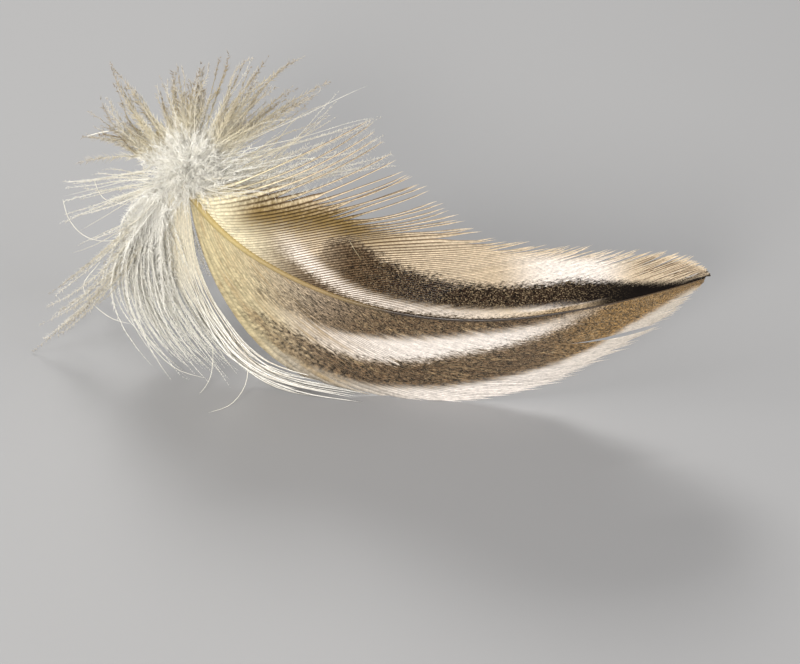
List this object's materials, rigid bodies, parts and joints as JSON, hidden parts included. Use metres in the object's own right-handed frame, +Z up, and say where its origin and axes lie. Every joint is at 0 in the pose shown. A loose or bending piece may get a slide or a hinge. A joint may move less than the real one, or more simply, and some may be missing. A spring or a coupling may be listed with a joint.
{
  "type": "contour feather",
  "caption": "Curved duck flank feather with cream and brown nested bands on asymmetric vanes, a tuft of ivory down at its root, lying on one vane edge and its down.",
  "frame": {"origin": "centre of the bottom of the bounding box, on the surface that the feather lies on", "axes": "+X from the down at the root towards the tip of the vanes, +Y away from the outer face, towards the hollow side, +Z up"},
  "size_m": [0.0748, 0.0356, 0.0359],
  "materials": {
    "vane": "matt barbs with a soft satin sheen, cream and dark brown bands",
    "shaft": "smooth satin keratin, yellow tan at the root, dark brown at the tip",
    "down": "soft fluffy ivory down with tan tips"
  },
  "bodies": {
    "root": {"feather": "vane"}
  },
  "joints": []
}
